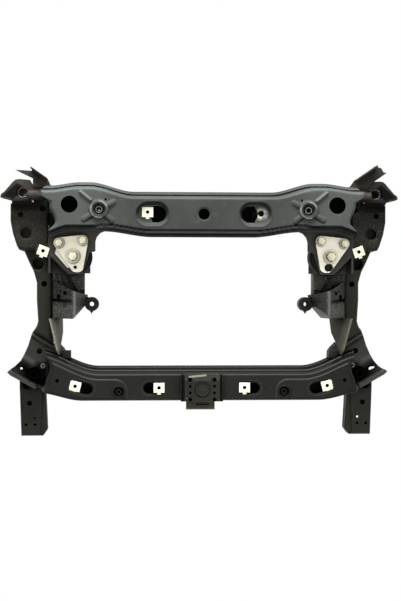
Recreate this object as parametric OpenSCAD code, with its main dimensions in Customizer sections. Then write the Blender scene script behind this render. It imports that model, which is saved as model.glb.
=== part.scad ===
// Front axle subframe of a car: welded pressed steel frame, lying flat, lower side up.
// Units are millimetres, +Z up, +Y towards the rear beam, X across the car.

/* [Sheet and fits] */
// Thickness of the pressed sheet
sheet = 3; // [2.5:0.5:3.5]
// Gap round parts that stand in a hole
gap = 0.4; // [0.3:0.05:0.6]

/* [Rear beam] */
// Height of the rear beam face
rear_face_z = 213; // [206:1:220]
// Height of the rear beam weld flange
rear_flange_z = 165; // [165:1:172]
// Depth of the rear beam back shell
rear_back_h = 22; // [14:1:22]
// Rear edge of the rear beam at its middle
rear_edge_y = 237; // [234:1:240]
// Rise of the rear edge towards the ends
rear_crown = 20; // [14:1:24]
// Front edge of the rear beam at its middle
rear_low_y = 138; // [134:1:141]
// Distance of the dished recesses from the middle
recess_x = 111; // [104:1:118]
// End radius of the dished recesses
recess_r = 26; // [24:0.5:28]
// Distance of the rack bosses from the middle
rack_x = 225; // [220:1:230]
// Radius of the rack boss ring
rack_ring_r = 21.5; // [19:0.5:22]
// Radius of the rack bolt bore
rack_bore_r = 4.2; // [3.5:0.1:5.5]

/* [Side members and rear mounts] */
// Distance of the inner face of the side members from the middle
side_in_x = 329; // [316:1:345]
// Height of the side member face
side_z = 80; // [76:1:84]
// Height of the rear side plate
pan_z = 100; // [97:1:106]
// Height of the rear mount ear
ear_z = 125; // [120:1:132]
// Distance of the rear mount from the inner face of the side member
rear_mount_out = 64; // [61:1:69]
// Fore and aft place of the rear mount
rear_mount_y = 238; // [237:1:242]
// Bore radius of the rear mount sleeve
rear_bore_r = 10; // [8:0.5:11.5]

/* [Engine mounts] */
// Thickness of the aluminium mount plate
plate_t = 11; // [8:0.5:14]
// Radius of the rubber body
rubber_r = 42; // [36:0.5:44]
// Distance of the main bolt from the inner face of the side member
main_in = 47; // [45:1:50]
// Fore and aft place of the main bolt
main_y = 96; // [94:1:99]

/* [Arm brackets] */
// Height of the arm bracket face
arm_z = 90; // [86:1:94]
// Distance of the eye from the inner face of the side member
eye_in = 87; // [85:1:90]
// Outer radius of the eye
eye_r = 16; // [14:0.5:18]
// Bore radius of the eye
eye_bore_r = 5; // [4:0.25:6.5]

/* [Front beam] */
// Height of the front beam face
front_face_z = 157; // [152:1:164]
// Height of the front beam weld flange
front_flange_z = 115; // [112:1:118]
// Rear edge of the front beam at its middle
front_top_y = -145; // [-148:1:-142]
// Front edge of the front beam at its middle
front_low_y = -222; // [-225:1:-219]
// Half width of the centre bracket plate
centre_w = 37.5; // [35:0.5:41]
// Spacing of the centre bracket holes along the row
centre_pitch = 14.4; // [12.5:0.1:14.8]
// Radius of the centre bracket holes
centre_hole_r = 2.5; // [2:0.25:3]

/* [Saddles and legs] */
// Height of the leg face above its rim
leg_h = 33; // [30:1:38]
// Height of the front saddle face
saddle_z = 70; // [66:1:74]
// Distance of the leg from the inner face of the side member
leg_in = 22; // [19:1:25]
// Width of the leg
leg_w = 53; // [51:1:59]
// Front end of the leg
leg_end_y = -311; // [-318:1:-304]
// Distance of the front mount from the inner face of the side member
front_mount_out = 45; // [44:1:49]
// Bore radius of the front mount sleeve
front_bore_r = 7; // [5:0.5:8]

/* [Clip nuts] */
// Width of a clip nut
clip_w = 24; // [21:0.5:25]
// Thread radius of a clip nut
clip_bore_r = 4; // [3:0.25:5]

/* [Hidden] */
$fn = 48;
rear_half = side_in_x + 3;
front_half = side_in_x + 16;
fin_l = 63;
shift_y = -(leg_end_y + rear_mount_y + fin_l) / 2;
rear_lip_top = 16;
rear_lip_low = 12;
rear_back_z = rear_flange_z - sheet - rear_back_h;
recess_y = 185.5;
recess_len = 18.5;
recess_d = 10;
rack_y = 194;
rack_sleeve_r = rack_bore_r + 3.2;
bracket_top_z = rear_flange_z - 2 * sheet;
lower_plate_z = pan_z + 5;
side_low_y = -60;
plate_top_z = bracket_top_z + plate_t;
main_x = -main_in;
bolt_in = [-68.5, 130.5];
bolt_out = [-17, 125];
bolt_r = 5;
main_bolt_r = 6;
rubber_top_z = bracket_top_z - sheet - 1;
arm_step = 8;
front_lip_top = 19;
front_lip_low = 6;
front_mount_y = -168;
saddle_floor_z = leg_h + sheet;
centre_z = front_face_z + 15;
centre_hole_x = centre_w - 11;
slot_y = front_low_y + 30;
dimple_x = 182;
dimple_y = front_low_y + 22;
side_seam_z = 55;
side_base_z = 30;
ear_t = 4;
tab_x = 17.5;
nut_x = 23;
nut_y = -148;
tab_y = 107.5;
tab_a = 19;
arm_base_z = 56;
arm_ridge_z = arm_z + 88;
gusset_top_z = front_face_z + 1;
gusset_lean = 8.5;
gusset_turn = -11.3;
eye_x = -eye_in;
eye_y = -8.4;
leg_x1 = leg_in + leg_w;
front_sleeve_r = front_bore_r + 5;
steel = [0.16, 0.17, 0.16];
dark = [0.11, 0.12, 0.12];
olive = [0.38, 0.36, 0.30];
zinc = [0.86, 0.84, 0.74];
alloy = [0.74, 0.72, 0.66];
black = [0.05, 0.05, 0.05];

function smooth(a, b, x) = let (t = min(1, max(0, (x - a) / (b - a)))) t * t * (3 - 2 * t);

// Edges of the two beams as seen from above
function out(x) = abs(x) - side_in_x;
function rear_top(x) = rear_edge_y + rear_crown * smooth(-179, -84, out(x)) - 8 * smooth(-64, 6, out(x));
function rear_low(x) = rear_low_y + 12 * smooth(-219, -114, out(x));
function front_top(x) = front_top_y + 44 * smooth(-104, 36, out(x));
function front_low(x) = front_low_y + 18 * smooth(-67, 33, out(x));

function rear_pts(l, top, low) = concat(
    [for (i = [0:60]) let (x = -l + 2 * l * i / 60) [x, rear_low(x) + low]],
    [for (i = [0:60]) let (x = l - 2 * l * i / 60) [x, rear_top(x) - top]]);
function front_pts(l, top, low) = concat(
    [for (i = [0:60]) let (x = -l + 2 * l * i / 60) [x, front_low(x) + low]],
    [for (i = [0:60]) let (x = l - 2 * l * i / 60) [x, front_top(x) - top]]);

// Outline moved inwards by d, for outlines that run counterclockwise
function unit(v) = v / norm(v);
function side_of(a, b) = let (u = unit(b - a)) [-u[1], u[0]];
function inset(p, d) = [for (i = [0:len(p) - 1])
    let (a = p[(i + len(p) - 1) % len(p)], b = p[i], c = p[(i + 1) % len(p)])
    let (m = side_of(a, b), n = side_of(b, c)) b + d * (m + n) / (1 + m * n)];

// Whole frame moved so that its box is centred fore and aft
module place() {
    translate([0, shift_y, 0]) children();
}

// Pieces of one side, drawn with X counted from the inner face of the side member
module place_side() {
    translate([side_in_x, shift_y, 0]) children();
}

module plate(pts, z0, z1) {
    translate([0, 0, z0]) linear_extrude(z1 - z0) polygon(pts);
}

module rod(x, y, r, z0, z1) {
    translate([x, y, z0]) cylinder(r = r, h = z1 - z0);
}

module block(x0, x1, y0, y1, z0, z1) {
    translate([x0, y0, z0]) cube([x1 - x0, y1 - y0, z1 - z0]);
}

// Round ended slot, straight length l, end radius r
module slot(x, y, a, l, r, z0, z1) {
    translate([x, y, z0]) rotate([0, 0, a]) {
        translate([-l / 2, 0, 0]) cylinder(r = r, h = z1 - z0);
        translate([l / 2, 0, 0]) cylinder(r = r, h = z1 - z0);
        translate([-l / 2, -r, 0]) cube([l, 2 * r, z1 - z0]);
    }
}

// Dished recess: side wall and floor below a face at height z
module dish(x, y, a, l, r, z, d) {
    difference() {
        slot(x, y, a, l, r, z - d - sheet, z);
        slot(x, y, a, l, r - sheet, z - d, z + 1);
    }
}

// Pressed cover: face and side walls, open below
module cover(pts, z0, z1) {
    difference() {
        plate(pts, z0, z1);
        plate(inset(pts, sheet), z0 - 1, z1 - sheet);
    }
}

// Flange bolt with its head above z
module flange_bolt(x, y, z, r, l) {
    rod(x, y, r, z - l, z + 0.5);
    rod(x, y, 2.1 * r, z, z + 0.5 * r);
    translate([x, y, z]) cylinder(r = 1.6 * r, h = 1.7 * r, $fn = 6);
}

// Flat spring nut with a threaded hole and a small tail
module clip_nut(x, y, a, z) {
    translate([x, y, z]) rotate([0, 0, a]) difference() {
        union() {
            translate([-clip_w / 2, -clip_w * 0.45, 0]) cube([clip_w, clip_w * 0.9, 2.5]);
            cylinder(r = clip_bore_r + 3, h = 3.5);
            translate([-4, -clip_w * 0.45 - 4, 0]) cube([8, 5, 1.5]);
        }
        translate([0, 0, -1]) cylinder(r = clip_bore_r, h = 6);
    }
}

// Rear beam face: hat section with flange, two recesses, rack bosses and ribs
module rear_beam_face_shell() {
    face_in = rear_pts(rear_half - 9, rear_lip_top, rear_lip_low);
    color(steel) place() difference() {
        union() {
            difference() {
                union() {
                    cover(face_in, rear_flange_z - sheet, rear_face_z);
                    difference() {
                        union() {
                            plate(rear_pts(rear_half, 0, 0), rear_flange_z - sheet, rear_flange_z);
                            for (s = [0, 1]) {
                                mirror([s, 0, 0]) plate([[rear_half - 4, 214], [rear_half + 2, 220],
                                    [rear_half + 27, 233], [rear_half + 13, 247],
                                    [rear_half - 4, 249]], rear_flange_z - sheet, rear_flange_z);
                            }
                        }
                        plate(inset(face_in, sheet), rear_flange_z - 2 * sheet, rear_flange_z + 1);
                    }
                }
                for (s = [-1, 1]) {
                    slot(s * recess_x, recess_y, 0, recess_len, recess_r - sheet / 2, 180, 230);
                }
            }
            for (s = [-1, 1]) {
                dish(s * recess_x, recess_y, 0, recess_len, recess_r, rear_face_z, recess_d);
                rod(s * rack_x, rack_y, rack_ring_r, rear_face_z - 1, rear_face_z + 6);
                slot(s * (rack_x + 31), rack_y + 31.5, s * 32, 20, 4.5, rear_face_z - 1, rear_face_z + 2.5);
                slot(s * (rack_x - 32), rack_y + 16, s * 30, 10, 3.5, rear_face_z - 1, rear_face_z + 2);
                rod(s * (rack_x + 29), rack_y - 19, 5, rear_face_z - 1, rear_face_z + 2);
                rod(s * (rack_x - 25), rack_y - 22, 5, rear_face_z - 1, rear_face_z + 2);
            }
        }
        rod(0, recess_y, 12.2, rear_face_z - 20, rear_face_z + 1);
        for (s = [-1, 1]) {
            rod(s * (recess_x - 12), recess_y, 16.5, rear_face_z - 40, rear_face_z + 1);
            block(s * (recess_x - 6) - 6, s * (recess_x - 6) + 6, recess_y - 16.5, recess_y + 16.5,
                rear_face_z - 40, rear_face_z + 1);
            rod(s * (recess_x + 12.8), recess_y + 2, 7, rear_face_z - 40, rear_face_z + 1);
            rod(s * rack_x, rack_y, 13, rear_face_z + 0.5, rear_face_z + 9);
            rod(s * rack_x, rack_y, rack_sleeve_r + gap, rear_face_z - 20, rear_face_z + 9);
            rod(s * (rack_x - 14), rack_y + 25, 2.8, rear_face_z - 20, rear_face_z + 1);
            rod(s * (side_in_x - 41), 205, 18.2, rear_face_z - 20, rear_face_z + 1);
        }
    }
}

// Rear beam back: shallow closing pan below the flange
module rear_beam_back_shell() {
    z1 = rear_flange_z - sheet;
    outer = rear_pts(rear_half - 12, rear_lip_top + 6, rear_lip_low + 4);
    color(dark) place() difference() {
        union() {
            plate(rear_pts(rear_half - 2, 2, 2), z1 - sheet, z1);
            plate(outer, rear_back_z, z1);
        }
        plate(inset(outer, sheet), rear_back_z + sheet, z1 + 1);
        for (s = [-1, 1]) {
            rod(s * rack_x, rack_y, rack_bore_r, rear_back_z - 1, z1 + 1);
        }
    }
}

// Rack sleeve: spacer tube between the back shell and the boss seat
module rack_sleeve() {
    color(steel) place() difference() {
        rod(rack_x, rack_y, rack_sleeve_r, rear_back_z + sheet, rear_face_z + 1.5);
        rod(rack_x, rack_y, rack_bore_r, rear_back_z, rear_face_z + 3);
    }
}

// Front beam face: hat section with flange, four slots, two dimples and ribs
module front_beam_face_shell() {
    face_in = front_pts(front_half - 6, front_lip_top, front_lip_low);
    color(dark) place() difference() {
        union() {
            cover(face_in, front_flange_z - sheet, front_face_z);
            difference() {
                plate(front_pts(front_half, 0, 0), front_flange_z - sheet, front_flange_z);
                plate(inset(face_in, sheet), front_flange_z - 2 * sheet, front_flange_z + 1);
            }
            for (s = [-1, 1]) {
                slot(s * 232, dimple_y + 29, 0, 136, 2.5, front_face_z - 1, front_face_z + 2);
                rod(s * dimple_x, dimple_y, 14, front_face_z - 8, front_face_z);
            }
        }
        for (s = [-1, 1]) {
            slot(s * 106, slot_y, 0, 20.5, 12, front_face_z - 20, front_face_z + 3);
            slot(s * (side_in_x - 66), slot_y + 2, s * 13.5, 26, 12, front_face_z - 20, front_face_z + 3);
            rod(s * dimple_x, dimple_y, 11, front_face_z - 5, front_face_z + 1);
            rod(s * dimple_x, dimple_y, 3.5, front_face_z - 20, front_face_z + 1);
            rod(s * (side_in_x - 13), dimple_y + 25, 4.4, front_face_z - 20, front_face_z + 3);
        }
    }
}

// Front beam back: deep closing pan that stands on the saddles
module front_beam_back_shell() {
    z1 = front_flange_z - sheet;
    outer = front_pts(front_half - 10, front_lip_top + 6, front_lip_low + 6);
    color(dark) place() difference() {
        union() {
            plate(front_pts(front_half - 2, 2, 1), z1 - sheet, z1);
            plate(outer, saddle_z, z1);
        }
        plate(inset(outer, sheet), saddle_z + sheet, z1 + 1);
        for (x = [-150, 150]) {
            rod(x, slot_y, 9, saddle_z - 1, z1 + 1);
        }
    }
}

// Centre bracket: folded plate on the front beam face with two rows of holes
module centre_bracket() {
    y0 = front_low_y + 2;
    y1 = y0 + 50;
    t = sheet + 1;
    color(dark) place() difference() {
        union() {
            translate([-centre_w, 0, 0]) rotate([90, 0, 90]) linear_extrude(2 * centre_w)
                polygon([[y0, front_face_z], [y1 + 10, front_face_z], [y1, centre_z], [y0, centre_z]]);
            block(-centre_w - 9, centre_w + 9, y0 - 1, y1 + 8, front_face_z, front_face_z + t);
            rod(0, y0 + 27, 16.5, centre_z - 1, centre_z + 1.2);
        }
        translate([t - centre_w, 0, 0]) rotate([90, 0, 90]) linear_extrude(2 * (centre_w - t))
            polygon([[y0 + t, front_face_z - 1], [y1 + 4, front_face_z - 1], [y1 + 4, front_face_z + 2],
                [y1 - 2, centre_z - t], [y0 + t, centre_z - t]]);
        rod(0, y0 + 27, 13.5, centre_z, centre_z + 2);
        for (s = [-1, 1], i = [-1.5:1:1.5]) {
            rod(s * centre_hole_x, y0 + 26 + i * centre_pitch, centre_hole_r, front_face_z - 1, centre_z + 2);
        }
    }
}

// Tab below the centre bracket, welded on the beam flange
module centre_tab() {
    y1 = front_low_y + front_lip_low - 1;
    color(dark) place() block(-32, 32, y1 - 26, y1, front_flange_z, front_flange_z + 4);
}

side_pts = [[0, side_low_y - 40], [46, side_low_y - 11], [38, side_low_y], [34, side_low_y + 12], [37, 1], [37, 40], [44, 65], [54, 85],
    [65, 110], [75, 113], [80, 122], [89, 150], [94, 177], [94, rear_mount_y - 24],
    [89, rear_mount_y - 19], [43, rear_mount_y - 19],
    [43, rear_mount_y - 6], [8, rear_mount_y - 6], [0, rear_mount_y - 14]];
pan_pts = [[8, 112], [67, 112], [75, 113], [80, 122], [89, 150], [94, 177], [94, rear_mount_y - 24],
    [89, rear_mount_y - 19], [43, rear_mount_y - 19], [43, rear_mount_y - 6], [8, rear_mount_y - 6]];

// Side member: two pressed halves with their walls edge to edge
module side_member_face() {
    color(dark) place_side() difference() {
        cover(side_pts, side_seam_z, side_z);
        rod(34, 81, 12.5, side_z - 20, side_z + 1);
        rod(20, 37, 6.8, side_z - 20, side_z + 1);
    }
}

module side_member_back() {
    color(dark) place_side() difference() {
        plate(side_pts, side_base_z, side_seam_z);
        plate(inset(side_pts, sheet), side_base_z + sheet, side_seam_z + 1);
        rod(46, 170, 20, side_base_z - 1, side_seam_z);
    }
}

// Rear side plate: raised pan welded on the side member
module rear_side_plate() {
    color(steel) place_side() difference() {
        cover(pan_pts, side_z, pan_z);
        rod(71, 191, 6.5, pan_z - 10, pan_z + 1);
        rod(22, 204, 7.3, pan_z - 10, pan_z + 1);
        rod(60, 150, 12.4, pan_z - 10, pan_z + 1);
    }
}

// Corner box: upright box that carries the end of the rear beam
module corner_box() {
    color(dark) place_side() difference() {
        block(-44, 0, 170, 220, side_seam_z - 5, rear_back_z);
        block(-44 + sheet, -sheet, 170 + sheet, 220 - sheet, side_seam_z - 6, rear_back_z + 1);
    }
}

// Rear mount ear: tongue with the mount hole, a rolled inner edge and a web down to the side plate
module rear_ear() {
    z0 = ear_z - ear_t;
    color(steel) place_side() translate([0, rear_mount_y, 0]) difference() {
        union() {
            plate([[1, -17], [43, -17], [88, -19], [108, -14], [114, -11], [112, -4], [105, 1], [86, 23],
                [80, 28], [71, 29], [48, 27], [43, 18], [1, 16]], z0, ear_z);
            translate([45, 0, 0]) rotate([90, 0, 90]) linear_extrude(44)
                polygon([[-26, pan_z], [-22, pan_z], [-15, z0], [-19, z0]]);
            intersection() {
                translate([1, -5, ear_z]) rotate([0, 90, 0]) difference() {
                    cylinder(r = 11, h = 51);
                    translate([0, 0, -1]) cylinder(r = 8, h = 53);
                }
                block(0, 60, -20, 10, ear_z, ear_z + 20);
            }
        }
        rod(rear_mount_out, 0, rear_bore_r + 1, ear_z - 10, ear_z + 1);
        rod(rear_mount_out, 0, rear_bore_r + 7 + gap, pan_z - 1, z0);
    }
}

// Rear mount fin: bent sheet on the ear, the left one with a narrow tongue
module rear_fin(tongue) {
    color(steel) place_side() translate([0, rear_mount_y, 0]) {
        if (tongue) {
            plate([[1, 11], [42, 11], [42, 30], [81, fin_l - 14], [44, fin_l - 16], [45, fin_l - 9], [9, 29]],
                ear_z, ear_z + 3.5);
            plate([[9, 29], [10.8, 26.6], [46.3, fin_l - 11.8], [45, fin_l - 9]], ear_z, ear_z + 26);
        }
        if (!tongue) {
            plate([[1, 11], [43, 12], [60, 28], [88, fin_l - 15], [81, fin_l - 14], [76, fin_l - 5], [62, fin_l],
                [14, fin_l - 33]], ear_z, ear_z + 3.5);
            plate([[14, fin_l - 33], [16, fin_l - 35.7], [63.5, fin_l - 3], [62, fin_l]], ear_z, ear_z + 26);
        }
    }
}

// Rear mount sleeve: thick tube below the ear, stands on the ground
module rear_sleeve() {
    color(steel) place_side() difference() {
        rod(rear_mount_out, rear_mount_y, rear_bore_r + 7, 0, ear_z - ear_t);
        rod(rear_mount_out, rear_mount_y, rear_bore_r, -1, ear_z);
    }
}

// Clip tab: small plate welded to the outer edge of the engine bracket, carries a clip nut
module clip_tab() {
    color(steel) place_side() difference() {
        plate([[6, 100], [29, 92], [35, 112], [28, 121], [6, 124]], bracket_top_z - sheet, bracket_top_z);
        rod(tab_x, tab_y, clip_bore_r + 1, bracket_top_z - 10, bracket_top_z + 1);
    }
}

// Engine bracket: top plate below the beam flange, outer wall and lower plate
module engine_bracket() {
    z1 = bracket_top_z;
    t = sheet + 1;
    color(dark) place_side() difference() {
        union() {
            plate([[-96, 107], [-83, 104], [-77, 84], [-67, 57], [-38, 57], [6, 100], [6, 163],
                [-117, 163], [-117, 151], [-107, 147], [-99, 138], [-96, 128]], z1 - t, z1);
            block(2, 6, 60, 108, side_z, z1 - 1);
            plate([[-84, 60], [6, 60], [6, 108], [-84, 108]], lower_plate_z - t, lower_plate_z);
        }
        for (b = [bolt_in, bolt_out]) {
            rod(b[0], b[1], bolt_r + gap, z1 - 10, z1 + 1);
        }
        rod(main_x, main_y, main_bolt_r + gap, z1 - 10, z1 + 1);
    }
}

// Engine mount body: thick rubber with narrower ends
module engine_rubber() {
    color(black) place_side() difference() {
        union() {
            rod(main_x, main_y, rubber_r - 4, lower_plate_z, rubber_top_z);
            rod(main_x, main_y, rubber_r, lower_plate_z + 7, rubber_top_z - 7);
        }
        rod(main_x, main_y, main_bolt_r + gap, rubber_top_z - 34, rubber_top_z + 1);
    }
}

// Plate with rounded corners of radius r round the points of p
module rounded(p, r, z0, z1) {
    plate(p, z0, z1);
    for (i = [0:len(p) - 1]) {
        a = p[i];
        b = p[(i + 1) % len(p)];
        n = side_of(a, b);
        rod(a[0], a[1], r, z0, z1);
        plate([a, a - r * n, b - r * n, b], z0, z1);
    }
}

// Aluminium mount plate: rounded triangle held by three bolts
module mount_plate(hole_r, wing) {
    z0 = bracket_top_z;
    color(alloy) place_side() difference() {
        union() {
            rounded([[-58, 73], [-54, 73], bolt_out, bolt_in], 12, z0, plate_top_z);
            if (wing) {
                plate([[-45, 72], [-35, 71], [-8, 102], [-12, 117]], z0 + 2, z0 + 5);
            }
        }
        for (b = [bolt_in, bolt_out]) {
            rod(b[0], b[1], bolt_r + gap, z0 - 1, plate_top_z + 1);
        }
        rod(main_x, main_y, main_bolt_r + gap, z0 - 1, plate_top_z + 1);
        rod(-52, 72, hole_r, z0 - 1, plate_top_z + 1);
    }
}

module plate_bolts() {
    color(zinc) place() for (s = [-1, 1], b = [bolt_in, bolt_out]) {
        flange_bolt(s * (side_in_x + b[0]), b[1], plate_top_z, bolt_r, plate_t + sheet + 1);
    }
}

module main_bolts() {
    color(zinc) place() for (s = [-1, 1]) {
        flange_bolt(s * (side_in_x + main_x), main_y, plate_top_z, main_bolt_r, plate_t + 30);
    }
}

// Strut: box below the engine bracket, closed against the arm bracket
module strut() {
    color(dark) place_side()
        cover([[-71, 12 + 56 / 29], [-49, 20], [0, 44.6], [0, 78], [-71, 78]],
            60, lower_plate_z - sheet - 1);
}

arm_pts = [[-78, 12], [-69, -15], [-47, -40], [0, -40], [0, 44.6], [-49, 20]];
arm_roof = [[-80, arm_base_z], [1, arm_base_z], [1, arm_z + 5], [-52, arm_ridge_z], [-78, arm_z - 2], [-80, arm_z - 9]];

// Solid below a roof profile, run along the car
module below_roof(profile) {
    translate([0, 50, 0]) rotate([90, 0, 0]) linear_extrude(100) polygon(profile);
}

// Arm bracket: ridged box of folded sheet, welded to the side member
module arm_bracket() {
    color(dark) place_side() difference() {
        intersection() {
            plate(arm_pts, arm_base_z, arm_ridge_z + 1);
            below_roof(arm_roof);
        }
        intersection() {
            plate(inset(arm_pts, sheet), arm_base_z + sheet, arm_ridge_z);
            below_roof(inset(arm_roof, sheet));
        }
        rod(-19, 21, 2.5, arm_z, arm_ridge_z);
        rod(-14, 8, 5, arm_z - 5, arm_ridge_z);
        block(-33, -25, 12, 20, arm_z, arm_ridge_z);
    }
}

// Eye lug: forged eye welded against the end of the arm bracket
module eye_lug() {
    u = unit([12, -27]);
    n = [u[1], -u[0]];
    p = [-78, 12];
    color(dark) place_side() difference() {
        union() {
            rod(eye_x, eye_y, eye_r, arm_base_z + 6, arm_z - 2);
            plate([p + 4 * u, p + 4 * u + 17 * n, p + 26 * u + 17 * n, p + 26 * u], arm_base_z + 10, arm_z - 6);
            plate([[eye_x - 6, eye_y - 11], [eye_x + 1, eye_y - 22], [eye_x + 8, eye_y - 11]],
                arm_base_z + 12, arm_base_z + 18);
        }
        rod(eye_x, eye_y, eye_bore_r, arm_base_z, arm_z + 1);
        plate(arm_pts, arm_base_z - 1, arm_z + 1);
    }
}

// Gusset: upright leaning sheet from the arm bracket to the front beam flange
module gusset() {
    z1 = front_flange_z;
    color(olive) place_side() intersection() {
        translate([-22, -41, 0]) rotate([0, gusset_lean, gusset_turn]) translate([0, -90, -10]) cube([sheet, 110, 190]);
        translate([-60, 0, 0]) rotate([90, 0, 90]) linear_extrude(90)
            polygon([[-40, 15], [-40, gusset_top_z], [-110, gusset_top_z - 12], [-120, gusset_top_z - 20],
                [-120, z1], [-109, z1], [-74, 47]]);
    }
}

// Foot tab: block at the edge of the front beam flange beside the gusset
module foot_tab() {
    color(dark) place_side() difference() {
        block(-42, -21, -129, -110, front_flange_z, front_flange_z + 10);
        block(-38, -25, -125, -109, front_flange_z - 1, front_flange_z + 7);
    }
}

saddle_pts = [[-29, -190], [16, -200], [44, -198], [96, -169], [103, -162], [98, -157], [89, -151],
    [74, -137], [66, -123], [57, -103], [49, -77], [46, side_low_y - 11], [0, side_low_y - 40],
    [0, -110], [-29, -125]];

// Front saddle: cover that spreads from the side member to the front mount
module front_saddle(slot_l) {
    color(dark) place_side() difference() {
        union() {
            cover(saddle_pts, saddle_floor_z, saddle_z);
            plate([[44, -198], [96, -169], [92.5, -162.7], [40.5, -191.7]], saddle_z - 1, saddle_z + 8);
        }
        rod(40, -168, 18, saddle_z - 10, saddle_z + 1);
        rod(31, -115, 6.8, saddle_z - 10, saddle_z + 1);
        slot(73, -155, -30, slot_l, 2.7, saddle_z - 10, saddle_z + 1);
        rod(nut_x, nut_y, 2.5, saddle_z - 10, saddle_z + 1);
    }
}

module saddle_floor() {
    color(dark) place_side() difference() {
        plate(saddle_pts, leg_h, saddle_floor_z);
        slot(77, -158, 0, 10, 4.5, leg_h - 1, saddle_floor_z + 1);
        rod(front_mount_out, front_mount_y, front_sleeve_r + gap, leg_h - 1, saddle_floor_z + 1);
    }
}

// Front mount sleeve: collared tube that stands on the saddle floor
module front_sleeve() {
    color(steel) place_side() difference() {
        union() {
            rod(front_mount_out, front_mount_y, front_sleeve_r, sheet, saddle_floor_z + 20);
            rod(front_mount_out, front_mount_y, front_sleeve_r + 4, saddle_floor_z, saddle_floor_z + 5);
        }
        rod(front_mount_out, front_mount_y, front_bore_r, -1, saddle_floor_z + 21);
    }
}

module weld_nuts() {
    color(zinc) place() for (s = [-1, 1]) {
        difference() {
            rod(s * (side_in_x + nut_x), nut_y, 5.7, saddle_z, saddle_z + 4);
            rod(s * (side_in_x + nut_x), nut_y, 2.5, saddle_z - 1, saddle_z + 5);
        }
    }
}

leg_pts = [[leg_in - 7, leg_end_y + 14], [leg_in + 3, leg_end_y], [leg_x1, leg_end_y], [leg_x1 + 4, leg_end_y + 110],
    [leg_x1 + 4, -172], [leg_x1 - 14, -150], [leg_in, -150], [leg_in - 4, leg_end_y + 66]];

// Front leg: channel that runs forward below the saddle
module front_leg() {
    color(steel) place_side() difference() {
        cover(leg_pts, sheet, leg_h);
        rod(front_mount_out, front_mount_y, front_sleeve_r + gap, leg_h - 10, leg_h + 1);
        rod(leg_in + 39, leg_end_y + 117, 11, leg_h - 10, leg_h + 1);
        rod(leg_in + 34, leg_end_y + 75, 6.2, leg_h - 10, leg_h + 1);
        rod(leg_in + 22, leg_end_y + 41, 2.9, leg_h - 10, leg_h + 1);
        rod(leg_in + 21.5, leg_end_y + 26, 3.5, leg_h - 10, leg_h + 1);
        rod(leg_in + 42, leg_end_y + 26, 3.7, leg_h - 10, leg_h + 1);
    }
}

// Leg back: flat plate that closes the leg below, the right one with a drain hole
module leg_back(drain_r) {
    color(steel) place_side() difference() {
        plate(leg_pts, 0, sheet);
        if (drain_r > 0) {
            rod(leg_in + 29.5, leg_end_y + 37, drain_r, -1, sheet + 1);
        }
    }
}

module rear_clip_nut() {
    color(zinc) place() clip_nut(-(recess_x + 10), recess_y + 4, 0, rear_face_z - recess_d);
}

module side_clip_nuts() {
    color(zinc) place() {
        clip_nut(side_in_x + tab_x, tab_y, tab_a, bracket_top_z);
        clip_nut(-side_in_x - tab_x, tab_y, -tab_a, bracket_top_z);
    }
}

module front_clip_nuts() {
    color(zinc) place() for (s = [-1, 1]) {
        clip_nut(s * 94, slot_y + 1, 0, front_face_z);
        clip_nut(s * (side_in_x - 52), slot_y + 5, s * 13.5, front_face_z);
    }
}

// Right and left pieces
module rack_sleeve_right() {
    rack_sleeve();
}

module rack_sleeve_left() {
    mirror([1, 0, 0]) rack_sleeve();
}

module side_member_face_right() {
    side_member_face();
}

module side_member_face_left() {
    mirror([1, 0, 0]) side_member_face();
}

module side_member_back_right() {
    side_member_back();
}

module side_member_back_left() {
    mirror([1, 0, 0]) side_member_back();
}

module rear_side_plate_right() {
    rear_side_plate();
}

module rear_side_plate_left() {
    mirror([1, 0, 0]) rear_side_plate();
}

module corner_box_right() {
    corner_box();
}

module corner_box_left() {
    mirror([1, 0, 0]) corner_box();
}

module rear_ear_right() {
    rear_ear();
}

module rear_ear_left() {
    mirror([1, 0, 0]) rear_ear();
}

module rear_fin_right() {
    rear_fin(false);
}

module rear_fin_left() {
    mirror([1, 0, 0]) rear_fin(true);
}

module rear_sleeve_right() {
    rear_sleeve();
}

module rear_sleeve_left() {
    mirror([1, 0, 0]) rear_sleeve();
}

module clip_tab_right() {
    clip_tab();
}

module clip_tab_left() {
    mirror([1, 0, 0]) clip_tab();
}

module engine_bracket_right() {
    engine_bracket();
}

module engine_bracket_left() {
    mirror([1, 0, 0]) engine_bracket();
}

module engine_rubber_right() {
    engine_rubber();
}

module engine_rubber_left() {
    mirror([1, 0, 0]) engine_rubber();
}

module strut_right() {
    strut();
}

module strut_left() {
    mirror([1, 0, 0]) strut();
}

module arm_bracket_right() {
    arm_bracket();
}

module arm_bracket_left() {
    mirror([1, 0, 0]) arm_bracket();
}

module eye_lug_right() {
    eye_lug();
}

module eye_lug_left() {
    mirror([1, 0, 0]) eye_lug();
}

module gusset_right() {
    gusset();
}

module gusset_left() {
    mirror([1, 0, 0]) gusset();
}

module foot_tab_right() {
    foot_tab();
}

module foot_tab_left() {
    mirror([1, 0, 0]) foot_tab();
}

module saddle_floor_right() {
    saddle_floor();
}

module saddle_floor_left() {
    mirror([1, 0, 0]) saddle_floor();
}

module front_sleeve_right() {
    front_sleeve();
}

module front_sleeve_left() {
    mirror([1, 0, 0]) front_sleeve();
}

module front_leg_right() {
    front_leg();
}

module front_leg_left() {
    mirror([1, 0, 0]) front_leg();
}

module leg_back_right() {
    leg_back(4.5);
}

module leg_back_left() {
    mirror([1, 0, 0]) leg_back(0);
}

module mount_plate_right() {
    mount_plate(8.5, false);
}

module mount_plate_left() {
    mirror([1, 0, 0]) mount_plate(2.7, true);
}

module front_saddle_right() {
    front_saddle(7);
}

module front_saddle_left() {
    mirror([1, 0, 0]) front_saddle(0.2);
}

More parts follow.
